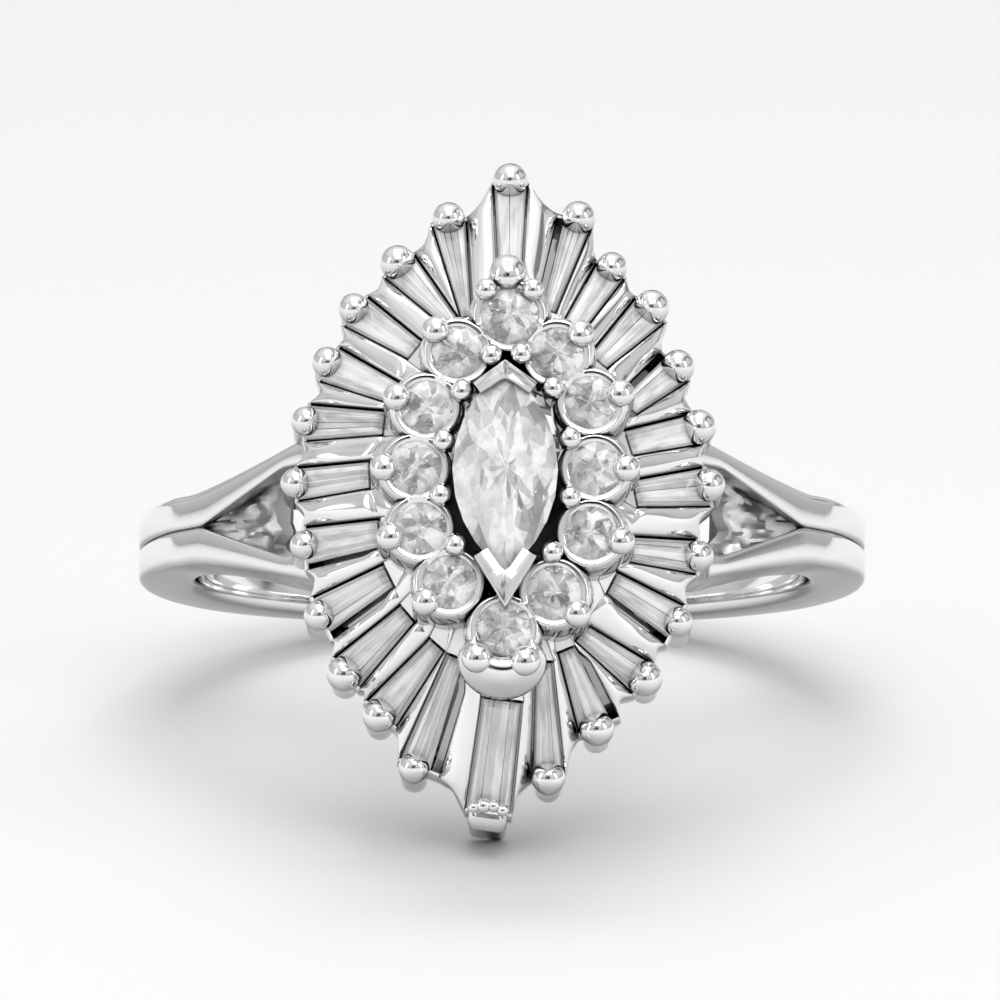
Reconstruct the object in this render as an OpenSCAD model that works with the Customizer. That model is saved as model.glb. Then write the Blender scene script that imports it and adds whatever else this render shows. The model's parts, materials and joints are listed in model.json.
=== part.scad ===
// Cluster ring: a marquise stone inside twelve round stones, above a sloping skirt of tapered baguettes.
// Every part is drawn in the ring's own frame, in millimetres: X across the finger, Y along the finger and
// Z from the middle of the finger hole to the face. The whole ring is then laid on its side, so that it
// stands on the foot of its lowest claw and on the flat at the back of its band.

/* [Shank] */
// Radius of the finger hole
finger_r = 8.65; // [8.6:0.05:8.8]
// Wall of the band at its sides
band_wall = 1.65; // [1.4:0.05:2]
// Wall of the band at its back, in the middle of the flat
back_wall = 1.35; // [1.2:0.05:1.6]
// Width of the band at its sides
band_w = 1.95; // [1.75:0.05:2.2]
// Width of the band at its back
back_w = 1.7; // [1.5:0.1:2]
// Width over both arms where they reach the head
arms_w = 4.05; // [3.9:0.05:4.4]
// Width of the V between the arms at the head
split_w = 2.4; // [2:0.1:2.6]
// Distance from the middle at which the band starts to widen
flare_x = 8.6; // [8.5:0.05:8.6]
// Distance from the middle at which the flat face of each arm starts
shoulder_x = 9.2; // [9:0.05:9.4]
// Distance from the middle at which the band splits
split_x = 8.3; // [8:0.05:8.5]
// Distance from the middle at which the V has its full width
full_split_x = 6; // [5.6:0.1:6.4]
// Distance from the middle at which the arms have their full width
arms_x = 5.2; // [4.8:0.1:5.4]
// Distance from the middle at which the web across the V ends
web_x = 6.2; // [6:0.1:6.8]
// Thickness of the web across the V
web_t = 0.7; // [0.5:0.05:0.9]
// Shift of the band along the finger
band_shift = -0.15; // [-0.2:0.05:0.2]

/* [Skirt] */
// Height of the skirt at the foot of the cluster
skirt_in_z = 13.5; // [13.2:0.05:13.8]
// Height of the skirt's outer edge
skirt_out_z = 11.75; // [11.5:0.05:12]
// Depth of the scallop between two claws
scallop = 0.16; // [0:0.01:0.25]
// Height of the foot of the outer claws
claw_foot_z = 9.2; // [9:0.1:9.8]
// Radius of a claw's post
claw_r = 0.36; // [0.3:0.01:0.4]
// Width of the lowest claw, which the ring stands on
stand_claw_w = 1.02; // [0.8:0.02:1.1]

/* [Cluster] */
// Half width and half length of the cluster at its foot
cluster_foot = [3.35, 4.6];
// Half width and half length of the oval that the outer beads stand square to
bead_oval = [3.4, 5.5];
// Height of the round stones' girdles
rounds_z = 15.95; // [15.8:0.05:16.1]
// Outer radius of a round stone's cup at its top
cup_r = 0.93; // [0.9:0.01:1]
// Distance from a round stone's middle to its outer bead
outer_bead_out = 0.88; // [0.82:0.01:0.95]
// Distance from between two round stones to their inner bead
inner_bead_in = 0.62; // [0.55:0.01:0.7]

/* [Centre stone] */
// Width and length of the marquise
marquise_size = [2.78, 5.4];
// Shift of the marquise across the finger
marquise_x = 0.08; // [0.04:0.02:0.12]
// Shift of the marquise along the finger
marquise_y = -0.05; // [-0.1:0.05:0.05]
// Height of its girdle
marquise_z = 16.4; // [16.2:0.05:16.6]

/* [Hidden] */
$fn = 48;
// Clear space between a stone and the metal
gap = 0.03;
overlap = 0.01;
metal = [0.80, 0.81, 0.82];
diamond = [0.93, 0.95, 0.97];

// Skirt stones, clockwise from the top. Columns: clock angle of the claw and its distance from the middle of
// the head, the same for the stone's inner end, width at the outer end and width at the inner end.
BAGUETTES = [
    [1.5, 8.5, 2, 6, 0.86, 0.62],
    [15.5, 7.75, 15, 4.9, 0.74, 0.32],
    [26, 6.8, 24, 4.55, 0.80, 0.50],
    [39, 6.45, 38, 4.25, 0.98, 0.54],
    [54.5, 5.85, 58, 4.05, 0.86, 0.54],
    [72, 5.6, 72, 3.6, 0.80, 0.66],
    [88.5, 5.6, 94, 3.6, 1.02, 0.68],
    [108.5, 5.6, 117, 3.85, 0.86, 0.64],
    [127, 5.95, 132, 4, 0.94, 0.58],
    [143, 6.4, 152, 4.55, 0.90, 0.48],
    [158.5, 6.95, 159, 4.8, 0.90, 0.40],
    [171, 7.9, 167, 4.95, 0.80, 0.40],
    [182.5, 8.8, 180, 5.8, 1.14, 1.00],
    [197.5, 7.9, 195, 4.85, 0.84, 0.42],
    [208.5, 6.95, 202, 4.7, 1.00, 0.46],
    [220.5, 6.55, 216, 4.35, 1.00, 0.54],
    [235.5, 6, 231, 3.95, 1.00, 0.62],
    [254.5, 5.55, 248, 3.6, 0.96, 0.72],
    [272, 5.6, 274, 3.6, 0.84, 0.68],
    [289.5, 5.65, 297, 3.6, 0.94, 0.60],
    [306.5, 5.9, 310, 3.85, 1.00, 0.60],
    [321, 6.4, 327, 4.35, 0.96, 0.56],
    [335.5, 6.85, 343, 4.5, 0.96, 0.34],
    [349, 7.6, 348, 4.65, 0.88, 0.26],
];
CLOCK = 0;
REACH = 1;
INNER_CLOCK = 2;
INNER_REACH = 3;
OUTER_W = 4;
INNER_W = 5;
STAND_CLAW = 12;

// Round stones, clockwise from the top. Columns: across, along the finger, and diameter.
ROUNDS = [
    [0.20, 4.12, 1.62],
    [1.44, 3.10, 1.50],
    [2.34, 1.80, 1.48],
    [2.45, 0.04, 1.50],
    [2.34, -1.68, 1.48],
    [1.36, -3.26, 1.52],
    [0.04, -4.22, 1.52],
    [-1.38, -2.98, 1.50],
    [-2.16, -1.56, 1.46],
    [-2.30, 0.06, 1.50],
    [-2.00, 1.68, 1.48],
    [-1.18, 3.14, 1.46],
];
ACROSS = 0;
ALONG = 1;
DIAMETER = 2;
TOP_ROUND = 0;
LOW_ROUND = 6;

// Where the slope starts inside the cluster's foot, as a share of its way, and the skirt's wall and its rim
slope_in = -0.2;
skirt_t = 1.1;
wall_foot_z = 10.2;
wall_t = 0.5;
wall_draft = 0.05;
wall_top_drop = 0.8;
rim_in = 0.14;
rim_drop = 0.16;
// Cross-section of the skirt. Columns: share of the way from the cluster's foot to the outer edge, distance
// back from that, and height.
SKIRT_SECTION = [
    [slope_in, 0, skirt_in_z - slope_in * (skirt_in_z - skirt_out_z)],
    [1, rim_in, skirt_out_z],
    [1, 0, skirt_out_z - rim_drop],
    [1, wall_draft, wall_foot_z],
    [1, wall_t, wall_foot_z],
    [1, wall_t + wall_draft, skirt_out_z - wall_top_drop],
    [slope_in, 0, skirt_in_z - slope_in * (skirt_in_z - skirt_out_z) - skirt_t],
];
// Outline points from one claw to the next
SCALLOP_STEPS = 3;

// Cut of the skirt stones. Columns: distance in from the girdle's outline and height above the girdle.
BAGUETTE_CUT = [
    [0.15, 0.15],
    [0.07, 0.10],
    [0, 0],
    [0, -0.04],
    [0.10, -0.24],
    [0.17, -0.38],
];
BAGUETTE_TABLE = 0;
BAGUETTE_CULET = 5;
// Width of a stone's inner end at which its cut has its full depth at the sides
full_cut_w = 0.4;
// Distance from a skirt stone's girdle down from the skirt's surface
baguette_sink = 0.08;
// Distance from a claw's middle to the end of its stone
claw_cover = 0.1;

// Cut of a brilliant, as shares of its half width, and its heights as shares of its width
TABLE_SHARE = 0.56;
STAR_SHARE = 0.78;
PAVILION_SHARE = 0.28;
CROWN_H = 0.15;
STAR_H = 0.085;
GIRDLE_H = 0.025;
PAVILION_H = 0.43;
LOWER_BREAK = 0.78;

// Where the ring lies: the plane through the back of the band and the foot of the lowest claw is its floor
band_r = finger_r + band_wall;
back_z = -finger_r - back_wall;
deck_z = finger_r + 1.25;
back_y = band_shift - back_w / 2;
stand_y = BAGUETTES[STAND_CLAW][REACH] * cos(BAGUETTES[STAND_CLAW][CLOCK]) - claw_r;
rest_tilt = atan((back_y - stand_y) / (claw_foot_z - back_z));
rest_z = -(back_y * cos(rest_tilt) + back_z * sin(rest_tilt));
table_rise = 0.45;
face_z = marquise_z + table_rise;
// Shift that brings the middle of the ring's box over the origin
rest_y_trim = 0.58;
rest_y = (face_z + back_z) * cos(rest_tilt) / 2 + rest_y_trim;

module at_rest() {
    translate([0, rest_y, rest_z]) rotate([90 - rest_tilt, 0, 0]) children();
}

function direction(clock) = [sin(clock), cos(clock)];
function oval_reach(clock, half) = 1 / sqrt(pow(sin(clock) / half[0], 2) + pow(cos(clock) / half[1], 2));
function mix(a, b, share) = a + (b - a) * share;
function unit(v) = v / norm(v);
function flat(v) = [v[0], v[1]];
function oval_points(half, steps = 48) =
    [for (i = [0 : steps - 1]) let (t = 360 * i / steps) [half[0] * sin(t), half[1] * cos(t)]];

// A closed solid from equal rings of points, each joined to the next, with flat ends
module lofted(rings) {
    n = len(rings[0]);
    last = len(rings) - 1;
    sides = [for (k = [0 : last - 1], i = [0 : n - 1])
        let (j = (i + 1) % n) [k * n + i, k * n + j, (k + 1) * n + j, (k + 1) * n + i]];
    first_face = [for (i = [n - 1 : -1 : 0]) i];
    last_face = [for (i = [0 : n - 1]) last * n + i];
    polyhedron([for (ring = rings, p = ring) p], concat(sides, [first_face, last_face]), convexity = 4);
}

// A straight round rod between two points
module rod(from, to, r) {
    way = to - from;
    translate(from)
        rotate([0, acos(way[2] / norm(way)), atan2(way[1], way[0])])
            cylinder(h = norm(way), r = r);
}

// An upright post with a bead on it
module bead_post(place, post_r, bead_r, foot_z, bead_z) {
    translate([place[0], place[1], foot_z]) cylinder(h = bead_z - foot_z, r = post_r);
    translate([place[0], place[1], bead_z]) sphere(r = bead_r);
}

// Shank

// Side outline of the shank: round, with a flat face along each arm. The finger hole is cut later.
module band_side() {
    shoulder = [shoulder_x, sqrt(pow(band_r, 2) - pow(shoulder_x, 2))];
    difference() {
        union() {
            intersection() {
                circle(r = band_r, $fn = 96);
                translate([-band_r, back_z]) square([2 * band_r, shoulder[1] - back_z]);
            }
            polygon([
                shoulder, [arms_x, deck_z], [-arms_x, deck_z], [-shoulder[0], shoulder[1]],
                [-shoulder[0] + 1, 1], [shoulder[0] - 1, 1],
            ]);
        }
        circle(r = finger_r - 1);
    }
}

// A plan outline from its right half's upper points
module plan(points) {
    n = len(points);
    upper = concat(points, [for (i = [n - 1 : -1 : 0]) [-points[i][0], points[i][1]]]);
    lower = [for (i = [2 * n - 1 : -1 : 0]) [upper[i][0], -upper[i][1]]];
    polygon(concat(upper, lower));
}

module arms_front() {
    difference() {
        plan([[band_r + 0.5, band_w / 2], [flare_x, band_w / 2], [arms_x, arms_w / 2]]);
        polygon([
            [split_x, 0], [full_split_x, split_w / 2], [-full_split_x, split_w / 2],
            [-split_x, 0], [-full_split_x, -split_w / 2], [full_split_x, -split_w / 2],
        ]);
    }
}

module band_back() {
    flat_x = 3;
    plan([[band_r + 0.5, band_w / 2], [flare_x, band_w / 2], [flat_x, back_w / 2]]);
}

// Thin web across the narrow end of each V, flush with the finger hole
module webs() {
    web_end_x = split_x + 0.4;
    for (side = [-1, 1])
        rotate([90, 0, 0]) linear_extrude(split_w, center = true) intersection() {
            circle(r = finger_r + web_t, $fn = 96);
            translate([side * (web_x + web_end_x) / 2, web_x])
                square([web_end_x - web_x, web_x], center = true);
        }
}

module shank() {
    difference() {
        translate([0, band_shift, 0]) union() {
            intersection() {
                rotate([90, 0, 0]) linear_extrude(arms_w + 1, center = true) band_side();
                union() {
                    linear_extrude(band_r + 1) arms_front();
                    translate([0, 0, -band_r - 1]) linear_extrude(band_r + 1) band_back();
                }
            }
            webs();
        }
        rotate([90, 0, 0]) cylinder(h = 20, r = finger_r, center = true, $fn = 96);
    }
}

// Skirt

function claw_place(i) =
    let (b = BAGUETTES[i % len(BAGUETTES)]) b[REACH] * direction(b[CLOCK]);

function skirt_edge(station) =
    let (
        i = floor(station / SCALLOP_STEPS),
        share = station / SCALLOP_STEPS - i,
        p = mix(claw_place(i), claw_place(i + 1), share)
    )
        p - unit(p) * scallop * 4 * share * (1 - share);

function skirt_point(station, row) =
    let (
        edge = skirt_edge(station),
        foot = unit(edge) * oval_reach(atan2(edge[0], edge[1]), cluster_foot),
        p = mix(foot, edge, row[0]) - unit(edge) * row[1]
    )
        [p[0], p[1], row[2]];

module skirt_plate() {
    stations = len(BAGUETTES) * SCALLOP_STEPS;
    rows = len(SKIRT_SECTION);
    points = [for (s = [0 : stations - 1], row = SKIRT_SECTION) skirt_point(s, row)];
    faces = [for (s = [0 : stations - 1], k = [0 : rows - 1])
        let (t = (s + 1) % stations, m = (k + 1) % rows)
            [s * rows + k, s * rows + m, t * rows + m, t * rows + k]];
    polyhedron(points, faces, convexity = 8);
}

// Inner and outer end of a skirt stone's girdle. The claw covers the last stretch of its way.
function stone_ends(b) =
    let (
        inner = b[INNER_REACH] * direction(b[INNER_CLOCK]),
        claw = b[REACH] * direction(b[CLOCK]),
        outer = claw - unit(claw - inner) * claw_cover,
        foot = oval_reach(b[INNER_CLOCK], cluster_foot),
        fall = (skirt_in_z - skirt_out_z) / (b[REACH] - foot),
        inner_z = skirt_in_z - fall * (b[INNER_REACH] - foot),
        outer_z = skirt_out_z + fall * claw_cover
    )
        [[inner[0], inner[1], inner_z - baguette_sink], [outer[0], outer[1], outer_z - baguette_sink]];

function stone_length(b) = norm(stone_ends(b)[1] - stone_ends(b)[0]);

// Puts a shape in a skirt stone's own frame: Y outward down the slope, Z square to the skirt
module in_skirt(b) {
    ends = stone_ends(b);
    way = ends[1] - ends[0];
    translate((ends[0] + ends[1]) / 2)
        rotate([-atan(-way[2] / norm(flat(way))), 0, -atan2(way[0], way[1])])
            children();
}

// Outline of a tapered stone, moved in by a distance, which is less at the sides of a narrow stone
function tapered(b, inset) =
    let (
        half = stone_length(b) / 2,
        y = half - inset,
        side = (b[OUTER_W] - b[INNER_W]) / 2 / (2 * half),
        across = inset > 0 ? inset * min(1, b[INNER_W] / full_cut_w) : inset,
        middle = (b[OUTER_W] + b[INNER_W]) / 4 - across
    )
        [[middle - side * y, -y], [middle + side * y, y], [-middle - side * y, y], [-middle + side * y, -y]];

module baguette(i) {
    b = BAGUETTES[i];
    rings = [for (k = [BAGUETTE_CULET : -1 : BAGUETTE_TABLE])
        [for (p = tapered(b, BAGUETTE_CUT[k][0])) [p[0], p[1], BAGUETTE_CUT[k][1]]]];
    color(diamond) at_rest() in_skirt(b) lofted(rings);
}

module skirt() {
    difference() {
        skirt_plate();
        for (b = BAGUETTES) baguette_seat(b);
    }
}

// Clears a skirt stone's own space out of the claw that folds over its end
module claw_notch(b) {
    low = BAGUETTE_CUT[BAGUETTE_CULET][1] - gap;
    in_skirt(b) translate([0, 0, low])
        linear_extrude(BAGUETTE_CUT[BAGUETTE_TABLE][1] + gap - low) polygon(tapered(b, -gap));
}

module baguette_seat(b) {
    seat_top = BAGUETTE_CUT[BAGUETTE_TABLE][1] + 0.5;
    seat_foot = BAGUETTE_CUT[BAGUETTE_CULET][1] - gap;
    ledge = 0.12;
    through = 2;
    in_skirt(b) {
        translate([0, 0, seat_foot]) linear_extrude(seat_top - seat_foot) polygon(tapered(b, -gap));
        translate([0, 0, seat_foot - through]) linear_extrude(through + overlap) polygon(tapered(b, ledge));
    }
}

module outer_claws() {
    difference() {
        claw_shapes();
        for (b = BAGUETTES) claw_notch(b);
    }
}

module claw_shapes() {
    bead_z = skirt_out_z + 0.3;
    bead_r = claw_r + 0.08;
    for (i = [0 : len(BAGUETTES) - 1])
        if (i != STAND_CLAW) bead_post(claw_place(i), claw_r, bead_r, claw_foot_z, bead_z);
    stand = claw_place(STAND_CLAW);
    side = stand_claw_w / 2 - claw_r;
    for (x = [-side, side]) bead_post(stand + [x, 0], claw_r, bead_r, claw_foot_z, bead_z);
    translate([stand[0] - side, stand[1] - claw_r, claw_foot_z])
        cube([2 * side, 2 * claw_r, bead_z - claw_foot_z]);
}

// Cluster

function round_place(i) = let (r = ROUNDS[(i + len(ROUNDS)) % len(ROUNDS)]) flat(r);
// Direction square to the oval that the round stones lie on
function outward(p) = unit([p[0] / pow(bead_oval[0], 2), p[1] / pow(bead_oval[1], 2)]);
function outer_bead(i) = round_place(i) + outward(round_place(i)) * outer_bead_out;
function inner_bead(i) =
    let (p = (round_place(i) + round_place(i + 1)) / 2) p - outward(p) * inner_bead_in;

// Outline of a stone between two arcs, at a parameter angle. Equal sides give a circle.
function girdle_point(size, t) =
    let (arc_r = (pow(size[0], 2) + pow(size[1], 2)) / (4 * size[0]), y = size[1] / 2 * cos(t))
        [sign(round(sin(t) * 1e6)) * (sqrt(max(0, arc_r * arc_r - y * y)) - arc_r + size[0] / 2), y];

function girdle_ring(size, share, z, count, first) =
    [for (k = [0 : count - 1])
        let (p = girdle_point(size, 360 * (k + first) / count) * share) [p[0], p[1], z]];

// A brilliant with a table, star, kite and girdle facets above, and kite and girdle facets below.
// The width sets its heights. Its girdle lies at height 0.
module brilliant(size, mains) {
    n = mains;
    w = size[0];
    points = concat(
        girdle_ring(size, TABLE_SHARE, CROWN_H * w, n, 0),
        girdle_ring(size, STAR_SHARE, STAR_H * w, n, 0.5),
        girdle_ring(size, 1, 0, 2 * n, 0),
        girdle_ring(size, 1, -GIRDLE_H * w, 2 * n, 0),
        girdle_ring(size, PAVILION_SHARE, -PAVILION_H * LOWER_BREAK * w, n, 0.5),
        [[0, 0, -PAVILION_H * w]]
    );
    star = n;
    top = 2 * n;
    low = 4 * n;
    lower = 6 * n;
    culet = 7 * n;
    faces = concat(
        [[for (k = [0 : n - 1]) k]],
        [for (k = [0 : n - 1]) [k, star + k, (k + 1) % n]],
        [for (k = [0 : n - 1]) [k, top + 2 * k, star + k]],
        [for (k = [0 : n - 1]) [(k + 1) % n, star + k, top + (2 * k + 2) % (2 * n)]],
        [for (k = [0 : n - 1]) [star + k, top + 2 * k, top + 2 * k + 1]],
        [for (k = [0 : n - 1]) [star + k, top + 2 * k + 1, top + (2 * k + 2) % (2 * n)]],
        [for (k = [0 : 2 * n - 1]) let (j = (k + 1) % (2 * n)) [top + k, low + k, low + j, top + j]],
        [for (k = [0 : n - 1]) [low + 2 * k, lower + k, low + 2 * k + 1]],
        [for (k = [0 : n - 1]) [low + 2 * k + 1, lower + k, low + (2 * k + 2) % (2 * n)]],
        [for (k = [0 : n - 1]) [culet, lower + k, low + 2 * k]],
        [for (k = [0 : n - 1]) [culet, low + (2 * k + 2) % (2 * n), lower + k]]
    );
    polyhedron(points, faces, convexity = 2);
}

module round_stone(i) {
    r = ROUNDS[i];
    color(diamond) at_rest()
        translate([r[ACROSS], r[ALONG], rounds_z]) brilliant([r[DIAMETER], r[DIAMETER]], 8);
}

module round_seat(r) {
    d = r[DIAMETER];
    side = d / 2 + gap;
    translate([r[ACROSS], r[ALONG], rounds_z]) rotate_extrude() polygon([
        [0, -PAVILION_H * d - 2 * gap], [side, -GIRDLE_H * d - gap], [side, gap],
        [TABLE_SHARE * side, CROWN_H * d + 2 * gap], [0, CROWN_H * d + 2 * gap],
    ]);
}

module centre_stone() {
    color(diamond) at_rest() centre_stone_shape();
}

module centre_stone_shape(grow = 1) {
    translate([marquise_x, marquise_y, marquise_z]) scale(grow) brilliant(marquise_size, 12);
}

module cups() {
    foot_z = 12.6;
    foot_flare = 0.04;
    light_hole_r = 0.38;
    usual_size = 1.5;
    difference() {
        for (r = ROUNDS) {
            grow = (r[DIAMETER] - usual_size) / 2;
            translate([r[ACROSS], r[ALONG], foot_z])
                cylinder(h = rounds_z - foot_z, r1 = cup_r + grow + foot_flare, r2 = cup_r + grow);
        }
        for (r = ROUNDS) translate([r[ACROSS], r[ALONG], foot_z - 1]) cylinder(h = 4, r = light_hole_r);
        for (r = ROUNDS) round_seat(r);
    }
}

module cluster_beads() {
    difference() {
        union() {
            bead_shapes();
            low_cup();
        }
        for (r = ROUNDS) round_seat(r);
    }
}

module bead_shapes() {
    outer_r = 0.36;
    inner_r = 0.31;
    top_r = 0.48;
    side_r = 0.29;
    neck = 0.04;
    bead_z = rounds_z + 0.12;
    foot_z = skirt_in_z + 0.2;
    inner_foot_z = 14.6;
    for (i = [0 : len(ROUNDS) - 1]) {
        if (i != TOP_ROUND && i != LOW_ROUND)
            bead_post(outer_bead(i), outer_r - neck, outer_r, foot_z, bead_z);
        if (i != LOW_ROUND && i != LOW_ROUND - 1)
            bead_post(inner_bead(i), inner_r - neck, inner_r, inner_foot_z, bead_z);
    }
    top = round_place(TOP_ROUND);
    bead_post(top + [-0.05, 1.26], top_r - neck, top_r, foot_z, rounds_z - 0.05);
    for (x = [-0.62, 0.62]) bead_post(top + [x, 0.68], side_r - neck, side_r, foot_z, bead_z + 0.06);
}

// The large rounded cup below the lowest round stone
module low_cup() {
    low = round_place(LOW_ROUND);
    bowl_r = 1.02;
    bowl_at = [-0.05, -0.76];
    open_r = 0.6;
    difference() {
        translate([low[0] + bowl_at[0], low[1] + bowl_at[1], rounds_z - 0.7]) sphere(r = bowl_r);
        translate([low[0], low[1], rounds_z]) cylinder(h = 1, r = open_r);
    }
}

// Cross-shaped bridge in the open middle of the cluster, which carries the two V prongs
module bridge() {
    low_z = 13.2;
    top_z = 14.3;
    cross_drop = 0.2;
    bar_w = 0.8;
    bar_x = 0.1;
    cross_w = 0.7;
    cross_x = [-2.3, 2.4];
    ends = [round_place(LOW_ROUND)[1], round_place(TOP_ROUND)[1]];
    translate([bar_x - bar_w / 2, ends[0], low_z]) cube([bar_w, ends[1] - ends[0], top_z - low_z]);
    translate([cross_x[0], marquise_y - cross_w / 2, low_z])
        cube([cross_x[1] - cross_x[0], cross_w, top_z - low_z - cross_drop]);
}

// V prong around a tip of the marquise, with the tip at the origin and the stone below it along -Y
module v_prong(lean, out, in, arm) {
    along = [sin(lean), -cos(lean)] * arm;
    across = [-cos(lean), -sin(lean)] * (out + in) * sin(lean);
    corner = [0, out] + along;
    foot_z = 14.1;
    rise = 0.38;
    translate([0, 0, foot_z]) linear_extrude(marquise_z + rise - foot_z) polygon([
        [0, out], corner, corner + across, [0, -in],
        [-corner[0] - across[0], corner[1] + across[1]], [-corner[0], corner[1]],
    ]);
}

module v_prongs() {
    half = marquise_size[1] / 2;
    arc_r = (pow(marquise_size[0], 2) + pow(marquise_size[1], 2)) / (4 * marquise_size[0]);
    stone_lean = asin(half / arc_r);
    lower_lean = 31;
    difference() {
        union() {
            translate([marquise_x, marquise_y + half, 0]) v_prong(stone_lean, 0.18, 0.38, 0.95);
            translate([marquise_x, marquise_y - half, 0]) rotate([0, 0, 180]) v_prong(lower_lean, 0.98, 0.16, 1.6);
        }
        centre_stone_shape(1.02);
        for (r = ROUNDS) round_seat(r);
    }
}

// Frame under the head

module oval_band(outer, inner, low_z, top_z) {
    translate([0, 0, low_z]) linear_extrude(top_z - low_z) difference() {
        polygon(oval_points(outer));
        polygon(oval_points(inner));
    }
}

module base_frame() {
    base_mid = [4.3, 3.1];
    half_t = 0.5;
    low_z = 9.2;
    top_z = 10.2;
    strut_foot_z = top_z - 0.5;
    strut_r = 0.34;
    inner_strut_r = 0.38;
    collar_out = cluster_foot - [0.35, 0.35];
    collar = cluster_foot - [0.9, 0.9];
    oval_band(base_mid + [half_t, half_t], base_mid - [half_t, half_t], low_z, top_z);
    oval_band(collar_out, collar, 12.3, 13.4);
    for (i = [0 : 2 : len(BAGUETTES) - 1]) {
        between = unit(claw_place(i) + claw_place(i + 1));
        clock = atan2(between[0], between[1]);
        start = between * oval_reach(clock, base_mid);
        end = mix(between * oval_reach(clock, cluster_foot), (claw_place(i) + claw_place(i + 1)) / 2, 0.55);
        rod([start[0], start[1], strut_foot_z], [end[0], end[1], 11.75], strut_r);
    }
    for (clock = [0 : 60 : 300]) {
        start = direction(clock) * oval_reach(clock, base_mid);
        end = direction(clock) * oval_reach(clock, collar + [0.2, 0.2]);
        rod([start[0], start[1], strut_foot_z], [end[0], end[1], 12.7], inner_strut_r);
    }
}

module mount() {
    color(metal) at_rest() union() {
        union() {
            union() {
                skirt();
                outer_claws();
            }
            union() {
                shank();
                base_frame();
            }
        }
        union() {
            cups();
            cluster_beads();
            bridge();
            v_prongs();
        }
    }
}

mount();
centre_stone();
round_stone(0);  // round_stone_01
round_stone(1);  // round_stone_02
round_stone(2);  // round_stone_03
round_stone(3);  // round_stone_04
round_stone(4);  // round_stone_05
round_stone(5);  // round_stone_06
round_stone(6);  // round_stone_07
round_stone(7);  // round_stone_08
round_stone(8);  // round_stone_09
round_stone(9);  // round_stone_10
round_stone(10);  // round_stone_11
round_stone(11);  // round_stone_12
baguette(0);  // baguette_01
baguette(1);  // baguette_02
baguette(2);  // baguette_03
baguette(3);  // baguette_04
baguette(4);  // baguette_05
baguette(5);  // baguette_06
baguette(6);  // baguette_07
baguette(7);  // baguette_08
baguette(8);  // baguette_09
baguette(9);  // baguette_10
baguette(10);  // baguette_11
baguette(11);  // baguette_12
baguette(12);  // baguette_13
baguette(13);  // baguette_14
baguette(14);  // baguette_15
baguette(15);  // baguette_16
baguette(16);  // baguette_17
baguette(17);  // baguette_18
baguette(18);  // baguette_19
baguette(19);  // baguette_20
baguette(20);  // baguette_21
baguette(21);  // baguette_22
baguette(22);  // baguette_23
baguette(23);  // baguette_24
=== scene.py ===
"""Cluster ring in polished white metal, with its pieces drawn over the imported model's frame.

Shapes are worked out in the ring's own frame, in millimetres. X runs across the finger, Y along the
finger and Z from the finger hole's middle to the face. They are then laid down by the same placement as
the model.
"""
import json
import math
import random

import bmesh
import bpy
from mathutils import Matrix, Vector, noise as solid_noise


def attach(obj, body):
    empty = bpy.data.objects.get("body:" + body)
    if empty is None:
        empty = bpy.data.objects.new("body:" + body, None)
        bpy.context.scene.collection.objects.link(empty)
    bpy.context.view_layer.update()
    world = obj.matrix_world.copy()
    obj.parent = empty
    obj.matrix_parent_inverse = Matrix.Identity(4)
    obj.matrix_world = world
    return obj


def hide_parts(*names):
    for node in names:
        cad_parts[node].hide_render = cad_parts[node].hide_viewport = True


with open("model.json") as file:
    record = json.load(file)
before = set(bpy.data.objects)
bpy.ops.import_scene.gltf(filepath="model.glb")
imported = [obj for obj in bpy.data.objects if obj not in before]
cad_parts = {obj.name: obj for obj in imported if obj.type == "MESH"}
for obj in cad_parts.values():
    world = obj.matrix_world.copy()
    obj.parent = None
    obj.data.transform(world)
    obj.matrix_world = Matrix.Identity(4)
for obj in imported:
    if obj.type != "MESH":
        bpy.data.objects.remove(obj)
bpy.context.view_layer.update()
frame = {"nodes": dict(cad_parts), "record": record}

# Placement of the ring's own frame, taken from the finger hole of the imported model
MM = 0.001
BAND_SHIFT = -0.15
hole = frame["record"]["mounts"][0]
hole_axis = Vector(hole["axis"]).normalized()
TILT = math.atan2(hole_axis.y, hole_axis.z)
HOLE_MIDDLE = Vector(hole["pos_m"]) - hole_axis * BAND_SHIFT * MM
LAID_DOWN = Matrix.Rotation(math.pi / 2 - TILT, 4, "X")
AT_REST = Matrix.Translation(HOLE_MIDDLE) @ LAID_DOWN @ Matrix.Scale(MM, 4)

# Sizes shared with the model. Names that end in X or Z are places, in R radii, in W widths and in T
# thicknesses.

# Finger hole and band, which has a flat at the back
FINGER_R = 8.65
BAND_R = 10.3
BACK_Z = -10.0
FLAT_X = 3.0
BAND_W = 1.95
BACK_W = 1.7

# Shoulders, from where the band widens to where its two arms have parted
SHOULDER_X = 9.2
FLARE_X = 8.6
SPLIT_X = 8.3
FULL_SPLIT_X = 6.0
ARMS_X = 5.2
ARMS_W = 4.05
SPLIT_W = 2.4
DECK_Z = 9.9
WEB_X = 6.2
WEB_T = 0.7

# Skirt and claws
SKIRT_IN_Z = 13.5
SKIRT_OUT_Z = 11.75
CLAW_FOOT_Z = 9.2
CLAW_COVER = 0.1
SLOT_CLEAR = 0.06
SLOT_DEPTH = 0.55

# Ovals in the plan of the head, as half the width and half the length
FOOT_OVAL = (3.35, 4.6)
BEAD_OVAL = (3.4, 5.5)
BASE_OVAL = (4.3, 3.1)
STRUT_OVAL = (2.65, 3.9)

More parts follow.
